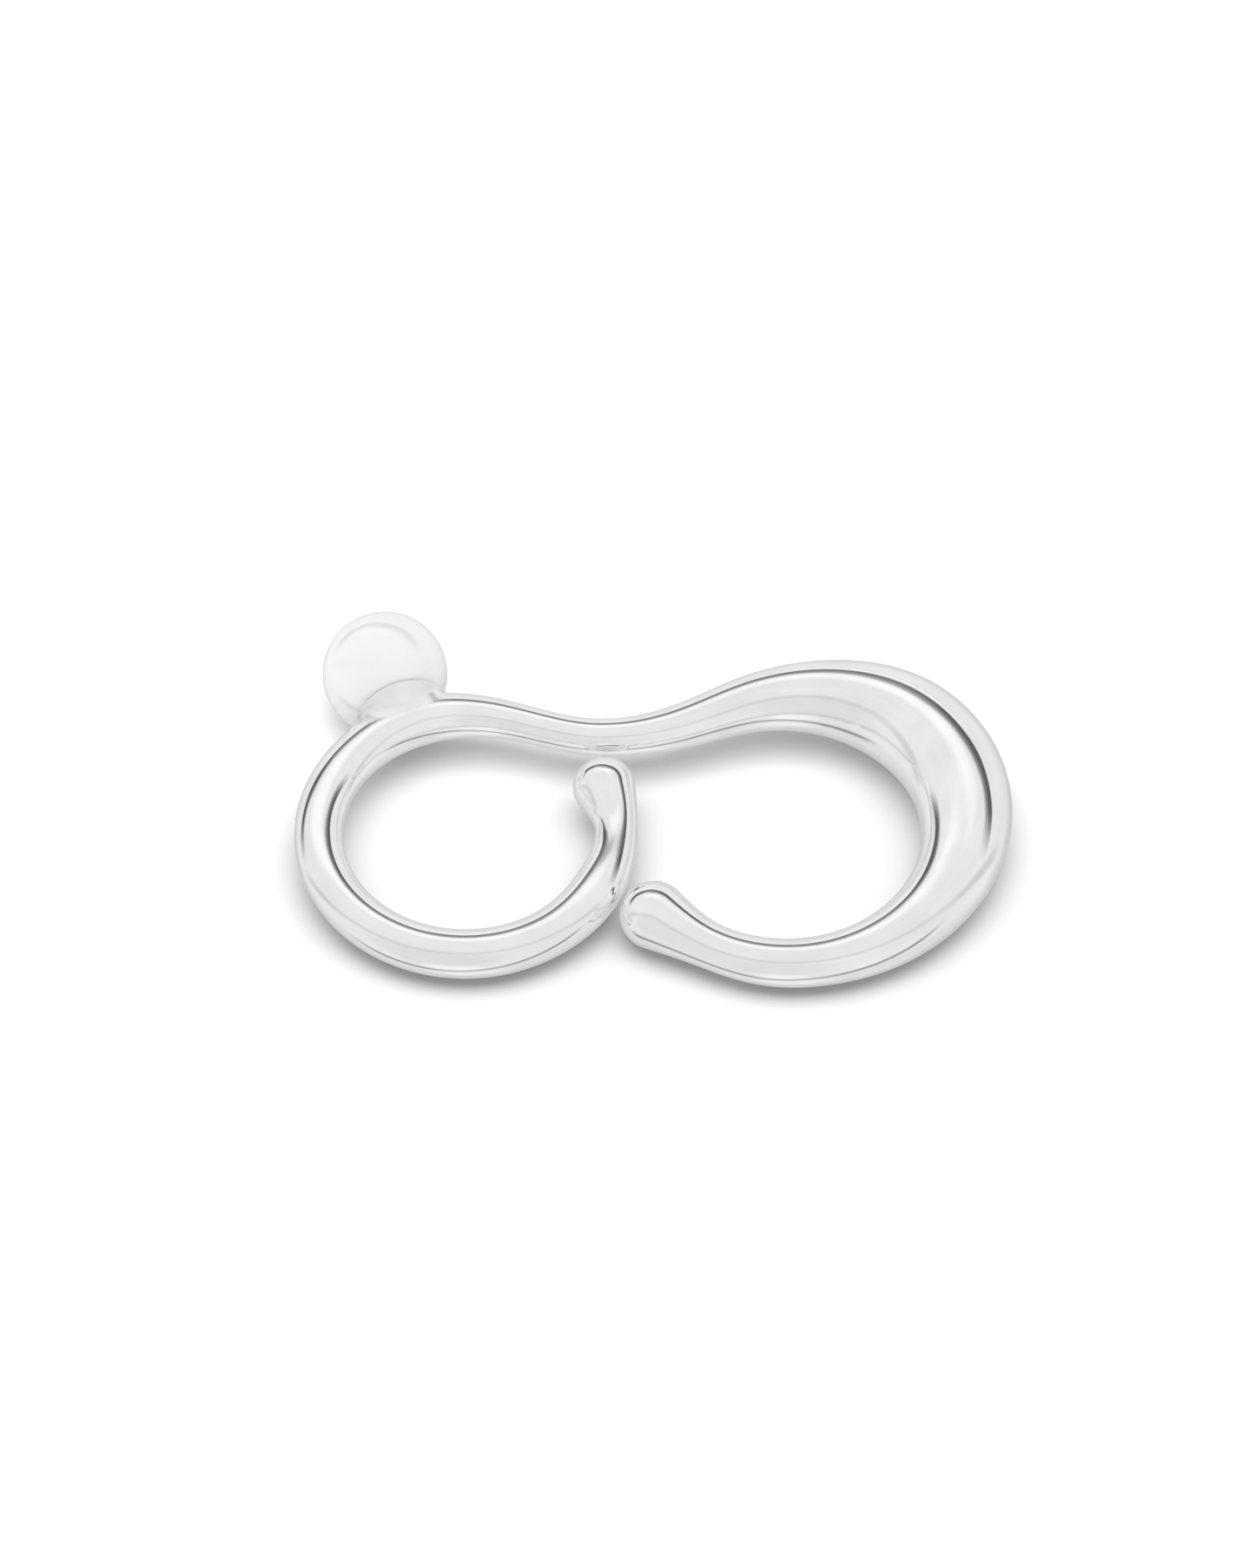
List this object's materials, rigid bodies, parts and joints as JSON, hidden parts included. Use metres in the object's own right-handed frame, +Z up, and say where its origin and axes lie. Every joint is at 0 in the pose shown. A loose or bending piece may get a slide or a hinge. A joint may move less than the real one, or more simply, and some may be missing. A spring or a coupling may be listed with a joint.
{
  "type": "two-finger ring",
  "caption": "Open two-finger ring: a polished silver wire drawn into two loops, swelling to a belly, with a pearl set in a small cup.",
  "frame": {"origin": "on the table, under the middle of the ring as it lies at rest", "axes": "+Z up, +X from the small finger loop to the large one, +Y to the side that the pearl is on"},
  "size_m": [0.0484, 0.03, 0.0085],
  "materials": {
    "polished_silver": "mirror polished sterling silver",
    "cup_silver": "polished sterling silver",
    "post_silver": "drawn silver wire",
    "clear_epoxy": "clear cured glue",
    "white_nacre": "lustrous white nacre"
  },
  "bodies": {
    "root": {"band": "polished_silver", "pearl_cup": "cup_silver", "pearl_post": "post_silver", "pearl_glue": "clear_epoxy", "pearl": "white_nacre"}
  },
  "joints": []
}
